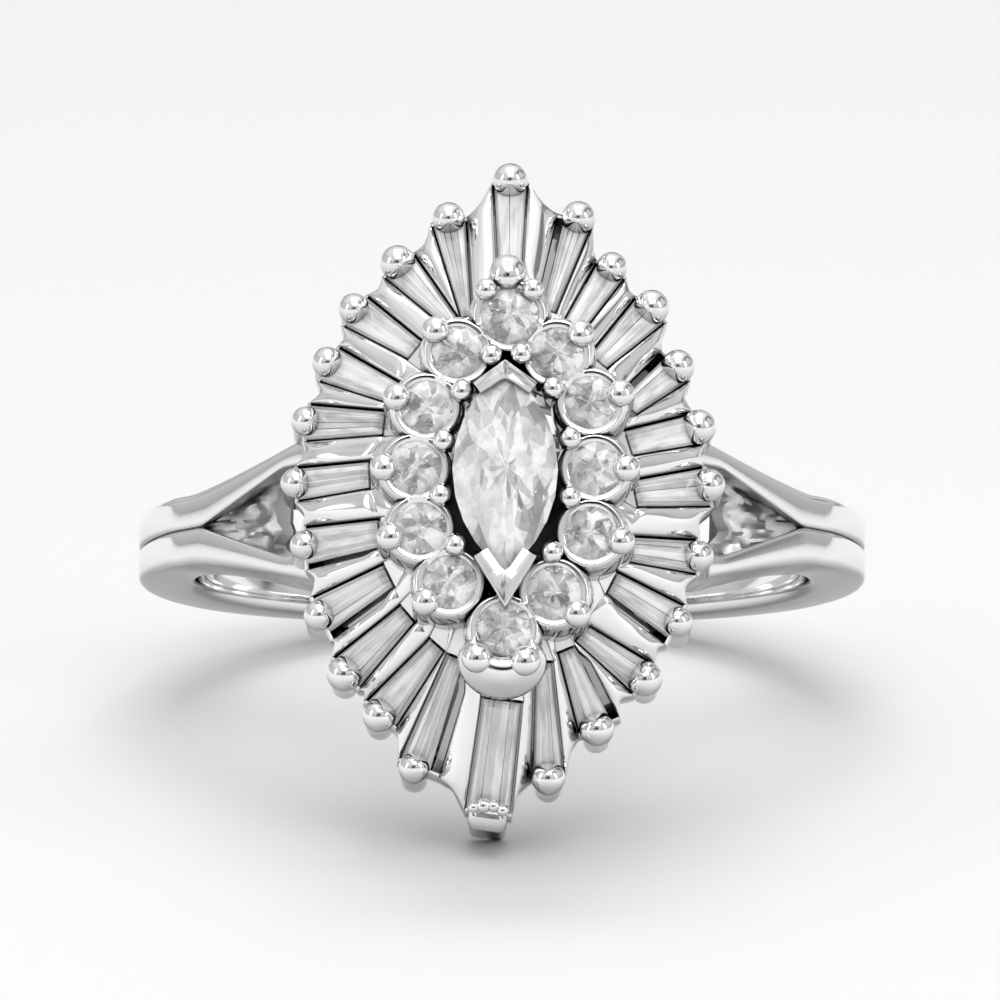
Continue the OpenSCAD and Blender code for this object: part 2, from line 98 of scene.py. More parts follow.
# Cluster: height of the round stones' tables, and the marquise with its prongs
ROUNDS_Z = 15.95
MARQUISE = (2.78, 5.4)
MARQUISE_AT = (0.08, -0.05)
MARQUISE_Z = 16.4
LOWER_LEAN = math.radians(31)
BRIDGE_LOW_Z = 13.2
BRIDGE_TOP_Z = 14.1

# Skirt stones, clockwise from the top. Columns: clock angle and reach of the claw, clock angle and reach
# of the inner end, outer width, inner width
BAGUETTES = [
    (1.5, 8.5, 2, 6, 0.86, 0.62), (15.5, 7.75, 15, 4.9, 0.74, 0.32),
    (26, 6.8, 24, 4.55, 0.80, 0.50), (39, 6.45, 38, 4.25, 0.98, 0.54),
    (54.5, 5.85, 58, 4.05, 0.86, 0.54), (72, 5.6, 72, 3.6, 0.80, 0.66),
    (88.5, 5.6, 94, 3.6, 1.02, 0.68), (108.5, 5.6, 117, 3.85, 0.86, 0.64),
    (127, 5.95, 132, 4, 0.94, 0.58), (143, 6.4, 152, 4.55, 0.90, 0.48),
    (158.5, 6.95, 159, 4.8, 0.90, 0.40), (171, 7.9, 167, 4.95, 0.80, 0.40),
    (182.5, 8.8, 180, 5.8, 1.14, 1.00), (197.5, 7.9, 195, 4.85, 0.84, 0.42),
    (208.5, 6.95, 202, 4.7, 1.00, 0.46), (220.5, 6.55, 216, 4.35, 1.00, 0.54),
    (235.5, 6, 231, 3.95, 1.00, 0.62), (254.5, 5.55, 248, 3.6, 0.96, 0.72),
    (272, 5.6, 274, 3.6, 0.84, 0.68), (289.5, 5.65, 297, 3.6, 0.94, 0.60),
    (306.5, 5.9, 310, 3.85, 1.00, 0.60), (321, 6.4, 327, 4.35, 0.96, 0.56),
    (335.5, 6.85, 343, 4.5, 0.96, 0.34), (349, 7.6, 348, 4.65, 0.88, 0.26),
]
COUNT = len(BAGUETTES)
STAND_CLAW = 12
# Slots that are wider than their stone on one side, by the stone's number. Columns: side (1 is clockwise),
# width of the gap
WIDE_SLOTS = {
    2: (-1, 0.14), 5: (-1, 0.12), 9: (1, 0.14), 11: (-1, 0.18), 14: (-1, 0.22), 17: (-1, 0.17),
    18: (-1, 0.10),
}

# Round stones, clockwise from the top. Columns: place across and along the finger, diameter
ROUNDS = [
    (0.20, 4.12, 1.62), (1.44, 3.10, 1.50), (2.34, 1.80, 1.48), (2.45, 0.04, 1.50),
    (2.34, -1.68, 1.48), (1.36, -3.26, 1.52), (0.04, -4.22, 1.52), (-1.38, -2.98, 1.50),
    (-2.16, -1.56, 1.46), (-2.30, 0.06, 1.50), (-2.00, 1.68, 1.48), (-1.18, 3.14, 1.46),
]
TOP_ROUND = 0
LOW_ROUND = 6
USUAL_ROUND = 1.5


# Plain geometry
def mix(a, b, t):
    return a + (b - a) * t


def smooth(t):
    t = min(1.0, max(0.0, t))
    return t * t * (3 - 2 * t)


def angles(count):
    return [2 * math.pi * k / count for k in range(count)]


def up(z):
    return Vector((0, 0, z))


def direction(clock):
    return Vector((math.sin(math.radians(clock)), math.cos(math.radians(clock)), 0))


def oval_reach(clock, half):
    s, c = math.sin(math.radians(clock)), math.cos(math.radians(clock))
    return 1 / math.sqrt((s / half[0]) ** 2 + (c / half[1]) ** 2)


def rounded_box(low, high, radii, steps=4):
    """Outline of a box with its own radius at each corner, from the low corner round."""
    outline = []
    corners = [(low[0], low[1], 180), (high[0], low[1], 270), (high[0], high[1], 0), (low[0], high[1], 90)]
    for (x, y, turn), r in zip(corners, radii):
        cx = x + (r if x == low[0] else -r)
        cy = y + (r if y == low[1] else -r)
        for k in range(steps + 1):
            a = math.radians(turn + 90 * k / steps)
            outline.append((cx + r * math.cos(a), cy + r * math.sin(a)))
    return outline


class Shape:
    """Collects lofts into one mesh piece."""

    def __init__(self):
        self.points = []
        self.faces = []

    def loft(self, rings, closed=False):
        """Skin over rings of points, joined up again if closed and otherwise capped at each end."""
        base = len(self.points)
        n = len(rings[0])
        for ring in rings:
            self.points.extend(Vector(p) for p in ring)
        for k in range(len(rings) if closed else len(rings) - 1):
            here = base + k * n
            there = base + (k + 1) % len(rings) * n
            for i in range(n):
                j = (i + 1) % n
                self.faces.append((here + i, here + j, there + j, there + i))
        if not closed:
            last = base + (len(rings) - 1) * n
            self.faces.append(tuple(base + i for i in reversed(range(n))))
            self.faces.append(tuple(last + i for i in range(n)))

    def tube(self, path, radii, sides=24, over=Vector((0, 0, 1))):
        """Round bar along a path, with its own radius at each point."""
        rings = []
        for k, (p, r) in enumerate(zip(path, radii)):
            way = (path[min(k + 1, len(path) - 1)] - path[max(k - 1, 0)]).normalized()
            side = way.cross(over).normalized()
            third = side.cross(way)
            rings.append([p + (side * math.cos(a) + third * math.sin(a)) * r for a in angles(sides)])
        self.loft(rings)

    def turned(self, place, profile, sides=32):
        """Solid of revolution about an upright axis, from (radius, height) pairs."""
        rings = []
        for r, z in profile:
            rings.append([place + Vector((math.sin(a) * r, math.cos(a) * r, z)) for a in angles(sides)])
        self.loft(rings)

    def make(self, name, material, crease=40):
        """The finished piece, with edges sharper than the crease angle kept sharp."""
        mesh = bpy.data.meshes.new(name)
        mesh.from_pydata([AT_REST @ p for p in self.points], [], self.faces)
        bm = bmesh.new()
        bm.from_mesh(mesh)
        bmesh.ops.remove_doubles(bm, verts=bm.verts, dist=1e-8)
        bmesh.ops.recalc_face_normals(bm, faces=bm.faces)
        bm.to_mesh(mesh)
        bm.free()
        mesh.shade_smooth()
        mesh.set_sharp_from_angle(angle=math.radians(crease))
        obj = bpy.data.objects.new(name, mesh)
        bpy.context.collection.objects.link(obj)
        mesh.materials.append(material)
        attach(obj, "root")
        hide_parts("mount")
        return obj


# Materials
class Graph:
    """The nodes of a material or of the world, with short calls for the kinds that are used here."""

    def __init__(self, tree):
        self.nodes = tree.nodes
        self.links = tree.links

    def put(self, socket, value):
        """Sets an input to a plain value, or links it to the output of another node."""
        if isinstance(value, bpy.types.NodeSocket):
            self.links.new(value, socket)
        else:
            socket.default_value = value

    def add(self, kind, inputs, **settings):
        node = self.nodes.new(kind)
        for name, value in settings.items():
            setattr(node, name, value)
        for key, value in inputs.items():
            self.put(node.inputs[key], value)
        return node

    def math(self, operation, *values):
        return self.add("ShaderNodeMath", dict(enumerate(values)), operation=operation).outputs[0]

    def multiply_colours(self, a, b):
        settings = {"data_type": "RGBA", "blend_type": "MULTIPLY"}
        return self.add("ShaderNodeMix", {"Factor": 1, 6: a, 7: b}, **settings).outputs[2]

    def parts(self, vector):
        return self.add("ShaderNodeSeparateXYZ", {0: vector}).outputs

    def noise(self, vector, scale, detail):
        inputs = {"Vector": vector, "Scale": scale, "Detail": detail}
        return self.add("ShaderNodeTexNoise", inputs).outputs["Fac"]

    def ramp(self, value, stops, interpolation="LINEAR"):
        """Grey levels from a value, by (value, grey) stops."""
        node = self.add("ShaderNodeValToRGB", {"Fac": value})
        node.color_ramp.interpolation = interpolation
        while len(node.color_ramp.elements) < len(stops):
            node.color_ramp.elements.new(0.5)
        for element, (place, grey) in zip(node.color_ramp.elements, stops):
            element.position = place
            element.color = (grey, grey, grey, 1)
        return node.outputs["Color"]

    def coords_in(self, place):
        """Coordinates in a frame of its own: millimetres from the placement's origin."""
        inputs = {
            "Vector": self.add("ShaderNodeTexCoord", {}).outputs["Object"],
            "Location": place.translation,
            "Rotation": place.to_3x3().normalized().to_euler(),
            "Scale": (MM, MM, MM),
        }
        return self.add("ShaderNodeMapping", inputs, vector_type="TEXTURE").outputs["Vector"]

    def cells(self, a, b, seed):
        """One random value for each cell of a pattern with straight edges over a and b."""
        place = self.add("ShaderNodeCombineXYZ", {0: a, 1: b, 2: seed * 3.7}).outputs[0]
        pattern = self.add("ShaderNodeTexVoronoi", {"Vector": place, "Scale": 1.0})
        return self.parts(pattern.outputs["Color"])["X"]


def new_material(name):
    material = bpy.data.materials.new(name)
    material.use_nodes = True
    return material, Graph(material.node_tree)


def white_gold(name, rough, grain, dark, light=0.96):
    """White metal with faint polishing waves, and painted shade: darker deep in its corners and on its
    undersides.
    """
    material, graph = new_material(name)
    shader = graph.nodes["Principled BSDF"].inputs
    shader["Metallic"].default_value = 1.0
    # Painted shade in corners and creases: ambient occlusion darkens the base colour
    cavity = graph.add("ShaderNodeAmbientOcclusion", {"Distance": 0.7 * MM}, samples=8)
    shade = graph.ramp(cavity.outputs["AO"], [(0.15, dark), (0.75, light)])
    # Painted shade on the undersides: base colour and specular tint darken where the surface faces down
    normal = graph.add("ShaderNodeNewGeometry", {}).outputs["Normal"]
    rise = graph.math("ADD", graph.parts(normal)["Z"], 0.5)
    below = graph.ramp(rise, [(0.0, 0.60), (0.35, 0.80), (0.62, 0.97), (0.85, 1.0)])
    graph.put(shader["Base Color"], graph.multiply_colours(shade, below))
    graph.put(shader["Specular Tint"], below)
    coords = graph.add("ShaderNodeTexCoord", {}).outputs["Object"]
    wave = graph.noise(coords, scale=900, detail=3)
    graph.put(shader["Roughness"], graph.ramp(wave, [(0.3, rough), (0.75, rough * 2.2)]))
    fine = graph.noise(coords, scale=2600, detail=4)
    bump = graph.add("ShaderNodeBump", {"Height": fine, "Strength": grain, "Distance": 0.02 * MM})
    graph.put(shader["Normal"], bump.outputs["Normal"])
    return material


def veiled_glass(graph, amount, haze):
    """Clear glass with a white veil, which stands for light that the lower facets send back."""
    graph.nodes.remove(graph.nodes["Principled BSDF"])
    clear = {"IOR": 2.42, "Color": (0.985, 0.99, 1.0, 1), "Roughness": haze}
    glass = graph.add("ShaderNodeBsdfGlass", clear).outputs[0]
    veil = graph.add("ShaderNodeBsdfDiffuse", {"Color": (0.97, 0.97, 0.975, 1)}).outputs[0]
    blend = graph.add("ShaderNodeMixShader", {"Fac": amount, 1: glass, 2: veil}).outputs[0]
    graph.put(graph.nodes["Material Output"].inputs["Surface"], blend)


def brilliant_cut(name, centre, half, fan_rays, fan_rings, shard_rows, low, cloudy, seed):
    """Brilliant with painted facet reflections: a fan of bright and dark facets round its middle, broken
    by a second set, and with faint clouds.
    """
    material, graph = new_material(name)
    place = graph.coords_in(AT_REST @ Matrix.Translation(centre))
    axes = graph.parts(place)
    x = graph.math("DIVIDE", axes["X"], half[0])
    y = graph.math("DIVIDE", axes["Y"], half[1])
    fan_turn = 20 + seed * 0.77
    angle = graph.math("ADD", graph.math("ARCTAN2", x, y), fan_turn)
    fold = graph.math("PINGPONG", angle, math.pi)
    squares = graph.math("ADD", graph.math("MULTIPLY", x, x), graph.math("MULTIPLY", y, y))
    rays = graph.math("MULTIPLY", fold, fan_rays)
    rings = graph.math("MULTIPLY", graph.math("SQRT", squares), fan_rings)
    fan = graph.cells(rays, rings, seed)
    columns = graph.math("MULTIPLY", x, shard_rows)
    rows = graph.math("MULTIPLY", y, shard_rows)
    shards = graph.cells(columns, rows, seed + 1)
    # Painted facet reflections: each cell of the fan and of the shards sets its own share of white veil
    both = graph.math("MULTIPLY", graph.math("ADD", fan, shards), 0.5)
    share = graph.ramp(both, [(0.0, 0.0), (0.25, low), (0.52, mix(low, 1.0, 0.55)), (0.70, 1.0)])
    cloud = graph.noise(place, scale=2.2, detail=4)
    clear = graph.ramp(cloud, [(0.36, cloudy), (0.58, 1.0)])
    veiled_glass(graph, graph.math("MULTIPLY", share, clear), haze=0.01)
    return material


def marquise_cut():
    centre = Vector((*MARQUISE_AT, MARQUISE_Z))
    half = (MARQUISE[0] / 2, MARQUISE[1] / 2)
    return brilliant_cut("marquise_cut", centre, half, fan_rays=4.2, fan_rings=5.0, shard_rows=3.6,
                         low=0.34, cloudy=0.70, seed=1)


def round_cut(number):
    x, y, size = ROUNDS[number - 1]
    half = (size / 2, size / 2)
    return brilliant_cut(f"round_cut_{number:02d}", Vector((x, y, ROUNDS_Z)), half, fan_rays=2.3,
                         fan_rings=2.6, shard_rows=1.9, low=0.20, cloudy=0.45, seed=4 + number)


# Upper limits of the painted facet bands on a step-cut stone, as shares of its width. Each second one is a
# thin line.
STEP_FACETS = (0.09, 0.12, 0.26, 0.29, 0.46, 0.49, 0.70, 0.73, 0.88, 0.91, 1.0)


def step_cut(number):
    """Step-cut stone with painted facet reflections: long flat facet bands, each painted with its own
    brightness, one wide band as a full white highlight, and faint clouds.
    """
    i = number - 1
    cell = CELLS[i]
    outer = cell.claw - cell.way * CLAW_COVER
    length = (outer - cell.inner).length
    middle = (cell.inner + outer) / 2 + up((cell.inner_z + SKIRT_OUT_Z) / 2)
    turn = Matrix.Rotation(-math.atan2(cell.way.x, cell.way.y), 4, "Z")
    slope = Matrix.Rotation(-math.atan2(cell.inner_z - SKIRT_OUT_Z, length), 4, "X")
    material, graph = new_material(f"step_cut_{number:02d}")
    place = graph.coords_in(AT_REST @ Matrix.Translation(middle) @ turn @ slope)
    axes = graph.parts(place)
    widening = graph.math("MULTIPLY", axes["Y"], (cell.outer_w - cell.inner_w) / length)
    width = graph.math("ADD", widening, (cell.outer_w + cell.inner_w) / 2)
    share = graph.math("ADD", graph.math("DIVIDE", axes["X"], width), 0.5)
    chance = random.Random(70 + i)
    # Painted highlight: one wide band gets full white veil, and the others get painted brightness of their
    # own
    highlight_band = chance.choice((2, 4, 6, 8))
    levels = []
    for k in range(len(STEP_FACETS)):
        thin = k % 2 == 1
        level = chance.choice((0.10, 0.95, 1.0)) if thin else chance.uniform(0.58, 0.92)
        levels.append(1.0 if k == highlight_band else level)
    starts = (0.0,) + STEP_FACETS[:-1]
    facets = graph.ramp(share, list(zip(starts, levels)), "CONSTANT")
    streaks = {"Vector": place, "Scale": (5.0, 0.9, 3.0), "Location": (i * 7.0, 0, 0)}
    stretched = graph.add("ShaderNodeMapping", streaks).outputs["Vector"]
    cloud = graph.noise(stretched, scale=1.0, detail=6)
    clear = graph.ramp(cloud, [(0.32, 0.58), (0.5, 0.90), (0.66, 1.0)])
    veiled_glass(graph, graph.math("MULTIPLY", facets, clear), haze=0.04)
    return material


POLISHED = white_gold("polished_white_gold", rough=0.05, grain=0.04, dark=0.28)
INSIDE = white_gold("cast_white_gold", rough=0.20, grain=0.35, dark=0.45)
ROUGH_CAST = white_gold("rough_cast_white_gold", rough=0.28, grain=0.9, dark=0.55)
# Nearly black metal for the bridge: painted shadow for the dark gaps under the cluster
SHADOW_DARK_METAL = white_gold("painted_shadow_white_gold", rough=0.45, grain=0.9, dark=0.06, light=0.13)


# Shank: two bars that run side by side round the back, and part into the split arms
def share_between(x, start, end):
    return min(1.0, max(0.0, (start - x) / (start - end)))


def arms_half(x):
    return mix(BAND_W, ARMS_W, share_between(x, FLARE_X, ARMS_X) ** 1.2) / 2


def back_half(x):
    return mix(BAND_W, BACK_W, share_between(x, FLARE_X, FLAT_X)) / 2


def split_half(x):
    return SPLIT_W / 2 * share_between(x, SPLIT_X, FULL_SPLIT_X)


def outer_reach(turn):
    """Distance from the hole's middle to the outside of the band, at an angle from the head."""
    s, c = abs(math.sin(turn)), math.cos(turn)
    if c < 0:
        return min(BAND_R, BACK_Z / c)
    shoulder_z = math.sqrt(BAND_R ** 2 - SHOULDER_X ** 2)
    if s * shoulder_z > c * SHOULDER_X:
        return BAND_R
    slope = (DECK_Z - shoulder_z) / (ARMS_X - SHOULDER_X)
    line = (shoulder_z - slope * SHOULDER_X) / (c - slope * s)
    return min(line, DECK_Z / max(c, 0.1))


def bar_section(turn, side):
    """Section of one bar, at an angle from the head. Side is 1 or -1 along the finger."""
    place = Vector((math.sin(turn), 0, math.cos(turn)))
    front = place.z > 0
    bore_edge, outer_edge, outer_bore_edge = 0.06, 0.26, 0.28
    groove = mix(0.02, 0.16, smooth((place.z + 0.35) / 0.5))
    edges = (bore_edge, groove, outer_edge, outer_bore_edge)
    section = []
    for r, w in rounded_box((FINGER_R, 0), (outer_reach(turn), 1), edges, 5):
        x = r * abs(place.x)
        outer = arms_half(x) if front else back_half(x)
        inner = split_half(x) if front else 0
        section.append(place * r + Vector((0, BAND_SHIFT + side * mix(inner, outer, w), 0)))
    return section


def shank():
    shape = Shape()
    for side in (1, -1):
        shape.loft([bar_section(turn, side) for turn in angles(288)], closed=True)
    obj = shape.make("shank", POLISHED, 50)
    obj.data.materials.append(INSIDE)
    cast_slot = 1
    past_bore, past_split = 0.1, 0.03
    to_own_frame = AT_REST.inverted()
    for face in obj.data.polygons:
        middle = to_own_frame @ face.center
        reach = math.hypot(middle.x, middle.z)
        in_split = abs(middle.y - BAND_SHIFT) < split_half(abs(middle.x)) + past_split
        if middle.z > 0 and reach > FINGER_R + past_bore and in_split:
            face.material_index = cast_slot


def lumps(p, size):
    """Two sizes of cast lumps, from 0 to 1."""
    coarse = solid_noise.noise(Vector(p) * 2.1)
    fine = solid_noise.cell(Vector(p) * 4.3)
    return min(1.0, max(0.0, 0.5 + size * coarse + 0.22 * (fine - 0.5)))


def web_top(turn, x, y, side):
    """Height of a web's lumpy top over the hole's middle, raised toward the tip of the V."""
    valley, lump_size = 0.52, 0.75
    tip_rise, rise_x, rise_length = 0.9, 6.5, 1.1
    below_edge = 0.3
    lumpy = FINGER_R + WEB_T * mix(valley, 1.0, lumps((x, y, side * 7), lump_size))
    high = lumpy + tip_rise * smooth((x - rise_x) / rise_length)
    return min(high, outer_reach(turn) - below_edge)


def webs():
    """The rough cast web across the narrow end of each V."""
    shape = Shape()
    across_steps, along_steps = 22, 44
    underside = FINGER_R + 0.03
    thin_end = FINGER_R + 0.15
    sink = 0.12
    start = math.asin(WEB_X / (FINGER_R + WEB_T))
    end = math.asin((SPLIT_X + 0.3) / FINGER_R)
    for side in (-1, 1):
        rings = []
        for k in range(along_steps + 1):
            along = k / along_steps
            upper, lower = [], []
            for j in range(across_steps + 1):
                v = -1 + 2 * j / across_steps
                ragged = 0.05 * solid_noise.noise(Vector((v * 3, side * 5, 1))) * (1 - along)
                turn = mix(start, end, along) + ragged
                x = FINGER_R * math.sin(turn)
                y = BAND_SHIFT + v * (split_half(x) + sink)
                high = web_top(turn, x, y, side) if k > 0 else thin_end
                for row, reach in ((upper, high), (lower, underside)):
                    row.append(Vector((side * reach * math.sin(turn), y, reach * math.cos(turn))))
            rings.append(upper + list(reversed(lower)))
        shape.loft(rings)
    shape.make("v_webs", ROUGH_CAST, 28)


# Gallery under the head: base oval, collar and struts
def claw_place(i):
    clock, reach = BAGUETTES[i % COUNT][:2]
    return direction(clock) * reach


def oval_bar(shape, outer, inner, low, high):
    rings = []
    for a in angles(96):
        points = []
        for half, z in ((inner, low), (outer, low), (outer, high), (inner, high)):
            points.append(Vector((half[0] * math.sin(a), half[1] * math.cos(a), z)))
        rings.append(points)
    shape.loft(rings, closed=True)


def gallery():
    shape = Shape()
    oval_bar(shape, outer=(4.8, 3.6), inner=(3.8, 2.6), low=9.2, high=10.2)
    oval_bar(shape, outer=(3.0, 4.25), inner=(2.45, 3.7), low=12.3, high=13.4)
    foot_z, skirt_z, collar_z = 9.7, 11.75, 12.7
    strut_r, inner_strut_r = 0.34, 0.38
    toward_claws = 0.55
    for i in range(0, COUNT, 2):
        between_claws = claw_place(i) + claw_place(i + 1)
        way = between_claws.normalized()
        clock = math.degrees(math.atan2(way.x, way.y))
        start = way * oval_reach(clock, BASE_OVAL) + up(foot_z)
        end = mix(way * oval_reach(clock, FOOT_OVAL), between_claws / 2, toward_claws) + up(skirt_z)
        shape.tube([start, end], [strut_r, strut_r])
    for clock in range(0, 360, 60):
        start = direction(clock) * oval_reach(clock, BASE_OVAL) + up(foot_z)
        end = direction(clock) * oval_reach(clock, STRUT_OVAL) + up(collar_z)
        shape.tube([start, end], [inner_strut_r, inner_strut_r])
    shape.make("gallery", INSIDE)


# Skirt: a sloping plate, with a slot for each stone and a raised bar between neighbours
def rim_between(i):
    """The skirt's outer edge half way between two claws, where it is drawn in."""
    drawn_in = 0.16
    p = mix(claw_place(i), claw_place(i + 1), 0.5)
    return p - p.normalized() * drawn_in


# The skirt's inner edge: how far it lies inside the foot oval, as a share of the way from there to the
# claw, its rise over SKIRT_IN_Z, and half of its width, as a share of the stone's width
EDGE_SHARE = 0.2
EDGE_RISE = 0.35
EDGE_HALF = 0.3


class Cell:
    """One stone's part of the skirt: its axis from the inner end to the claw, and its widths.

    A share is the place along the slope: 0 at the stone's inner end, 1 at the claw, -1 at the skirt's
    inner edge.
    """

    def __init__(self, i):
        self.wide_side, self.gap = WIDE_SLOTS.get(i + 1, (0, 0))
        clock, reach, inner_clock, inner_reach, self.outer_w, self.inner_w = BAGUETTES[i]
        self.claw = direction(clock) * reach
        self.inner = direction(inner_clock) * inner_reach
        foot = oval_reach(inner_clock, FOOT_OVAL)
        self.edge = direction(inner_clock) * (foot - EDGE_SHARE * (reach - foot))
        self.way = (self.claw - self.inner).normalized()
        self.across = Vector((self.way.y, -self.way.x, 0))
        self.inner_z = mix(SKIRT_IN_Z, SKIRT_OUT_Z, (inner_reach - foot) / (reach - foot))

    def middle(self, share, back):
        far = mix(self.inner, self.claw, share) if share > 0 else mix(self.inner, self.edge, -share)
        return far - self.way * back

    def height(self, share):
        if share > 0:
            return mix(self.inner_z, SKIRT_OUT_Z, share)
        return mix(self.inner_z, SKIRT_IN_Z + EDGE_RISE, -share)

    def half(self, share, side):
        extra = self.gap * smooth(share * 4) if side == self.wide_side else 0
        if share > 0:
            return mix(self.inner_w, self.outer_w, share) / 2 + SLOT_CLEAR + extra
        return mix(self.inner_w / 2 + SLOT_CLEAR, self.inner_w * EDGE_HALF, -share)


CELLS = [Cell(i) for i in range(COUNT)]
# Section of a bar. Columns: share of the way from the slot's edge to the bar's middle, height
BAR_PROFILE = [(0.0, -0.05), (0.07, 0.04), (0.2, 0.09), (0.45, 0.12), (0.75, 0.13), (1.0, 0.135)]
SLOT_COLUMNS = (-0.6, -0.3, 0, 0.3, 0.6)
# Rows of the skirt, from its inner edge to the slots, and from the slots over the outer edge to its
# underside. Columns: share of the way to the claw, depth below the slope, step back inward, share of the
# bar's height
INNER_ROWS = [(-1.0, 0, 0, 0.3), (-0.5, 0, 0, 0.7), (0, 0, SLOT_CLEAR + 0.02, 1)]
OUTER_ROWS = [
    (0.945, 0, 0, 1), (0.97, 0, 0, 0.7), (1.0, 0.02, 0.08, 0.3), (1.0, 0.10, 0.02, 0.05),
    (1.0, 0.22, 0, 0), (1.0, 0.9, 0.02, 0), (1.0, 1.5, 0.05, 0), (1.0, 1.55, 0.12, 0),
    (1.0, 1.55, 0.5, 0), (1.0, 0.8, 0.55, 0), (0.5, 1.0, 0, 0), (-1.0, 1.1, 0, 0),
]
# Rows along a slot, and the share of the way to the claw at which it ends
SLOT_ROWS = 16
SLOT_END = 0.93


def skirt_row(share, drop, back, flatten, slot_depth=0):
    """One closed row of points round the skirt, the same number for each stone."""
    row = []
    for i, cell in enumerate(CELLS):
        z = cell.height(share) - drop
        slot_z = z - slot_depth
        centre = cell.middle(share, back)
        sides = []
        edges = []
        for side in (-1, 1):
            near = CELLS[(i + side) % COUNT]
            edge_point = centre + cell.across * side * cell.half(share, side)
            edges.append(edge_point)
            facing = near.middle(share, back) - near.across * side * near.half(share, -side)
            rim = rim_between(i if side > 0 else (i - 1) % COUNT)
            rim -= rim.normalized() * back
            between = (edge_point + facing) / 2
            ridge = rim if share >= 1 else mix(between, rim, max(0, share) ** 4)
            ridge_z = (cell.height(share) + near.height(share)) / 2 - drop
            columns = [edge_point + up(slot_z)]
            for u, h in BAR_PROFILE:
                columns.append(mix(edge_point, ridge, u) + up(mix(z, ridge_z, u) + h * flatten))
            sides.append(columns)
        slot = [mix(*edges, 0.5 + t / 2) + up(slot_z) for t in SLOT_COLUMNS]
        row.extend(list(reversed(sides[0])) + slot + sides[1][:-1])
    return row


def skirt():
    rows = [skirt_row(*columns) for columns in INNER_ROWS]
    first_open = len(rows)
    rows.append(skirt_row(0, 0, SLOT_CLEAR, 1, SLOT_DEPTH))
    for k in range(1, SLOT_ROWS + 1):
        rows.append(skirt_row(SLOT_END * k / SLOT_ROWS, 0, 0, 1, SLOT_DEPTH))
    last_open = len(rows) - 2
    rows += [skirt_row(*columns) for columns in OUTER_ROWS]
    shape = Shape()
    shape.loft(rows, closed=True)
    cell_length = len(rows[0]) // COUNT
    first_column = len(BAR_PROFILE) + 1
    last_column = first_column + len(SLOT_COLUMNS) - 2
    kept = []
    for index, face in enumerate(shape.faces):
        row, column = divmod(index, len(rows[0]))
        in_slot = first_column <= column % cell_length <= last_column
        if not (in_slot and first_open <= row <= last_open):
            kept.append(face)
    shape.faces = kept
    shape.make("skirt", POLISHED, 38)


# Outer claws, folded over the ends of the skirt stones
# Post. Columns: height over the foot, radius
CLAW_POST = [(0, 0.2), (0.03, 0.31), (0.12, 0.36)]
# Head. Columns: distance outward, height over the skirt's edge, radius as a share of the head's
CLAW_HEAD = [
    (0, -0.60, 0.80), (0, -0.30, 0.83), (-0.01, 0.0, 0.90), (-0.02, 0.14, 0.96), (-0.05, 0.28, 1.0),
    (-0.10, 0.42, 0.95), (-0.16, 0.53, 0.80), (-0.22, 0.61, 0.57), (-0.26, 0.65, 0.30),
    (-0.28, 0.66, 0.06),
]
# Radius of each claw's head, clockwise from the top
HEAD_R = (
    0.47, 0.46, 0.42, 0.48, 0.46, 0.48, 0.45, 0.42, 0.41, 0.48, 0.48, 0.46,
    0.44, 0.42, 0.46, 0.48, 0.42, 0.40, 0.41, 0.40, 0.42, 0.42, 0.48, 0.44,
)
# Beads along the top of the stand claw. Columns: place across and outward, radius
STAND_BEADS = [(-0.38, -0.20, 0.17), (-0.12, -0.28, 0.18), (0.15, -0.26, 0.21), (0.40, -0.18, 0.16)]


def ball(shape, middle, radius, sides=20, levels=12):
    steps = [math.pi * k / levels for k in range(1, levels)]
    shape.turned(middle, [(math.sin(a) * radius, -math.cos(a) * radius) for a in steps], sides)


def stand_claw(shape, cell):
    """The broad lowest claw: a rounded block with four small beads along its sloping top."""
    half_w, half_t, corner_r = 0.51, 0.36, 0.22
    top_slope, slope_from, bead_rise = 0.42, -0.3, 0.47
    foot, top = CLAW_FOOT_Z, SKIRT_OUT_Z
    levels = [(foot, -0.05), (foot + 0.05, 0), (top, 0), (top + 0.25, 0.01), (top + 0.4, -0.02)]
    levels += [(top + 0.5, -0.10), (top + 0.53, -0.2)]
    rings = []
    for z, grow in levels:
        high = (half_w + grow, half_t + grow)
        slope = top_slope * smooth((z - top) / 0.25)
        ring = []
        for u, v in rounded_box((-high[0], -high[1]), high, (corner_r,) * 4, 5):
            ring.append(cell.claw + cell.across * u + cell.way * v + up(z - slope * (v - slope_from)))
        rings.append(ring)
    shape.loft(rings)
    for u, v, r in STAND_BEADS:
        ball(shape, cell.claw + cell.across * u + cell.way * v + up(top + bead_rise), r)


def claws():
    shape = Shape()
    for i, cell in enumerate(CELLS):
        if i == STAND_CLAW:
            stand_claw(shape, cell)
            continue
        levels = [(0, CLAW_FOOT_Z + z, r) for z, r in CLAW_POST]
        levels += [(x, SKIRT_OUT_Z + z, r * HEAD_R[i]) for x, z, r in CLAW_HEAD]
        path = [cell.claw + cell.way * x + up(z) for x, z, r in levels]
        shape.tube(path, [r for x, z, r in levels], sides=28, over=cell.across)
    shape.make("outer_claws", POLISHED, 60)


# Cluster: a scalloped cup for each round stone
# Outside of a cup round a stone of the usual size, from its foot over the lip. Columns: radius, height
CUP_WALL = [
    (0.99, 12.7), (1.00, 13.8), (1.05, 14.7), (1.06, 15.2), (1.03, 15.55), (0.98, 15.82), (0.92, 15.98),
    (0.88, 16.04), (0.84, 16.05),
]


def stone_at(i):
    x, y, _ = ROUNDS[i % len(ROUNDS)]
    return Vector((x, y, 0))


def outward(p):
    return Vector((p.x / BEAD_OVAL[0] ** 2, p.y / BEAD_OVAL[1] ** 2, 0)).normalized()


def up_to_neighbours(reach, way, steps):
    """A reach in one direction, cut off half way to the stones that the steps lead to."""
    for step in steps:
        facing = way.dot(step.normalized())
        if facing > 0.05:
            reach = min(reach, step.length / 2 / facing)
    return reach


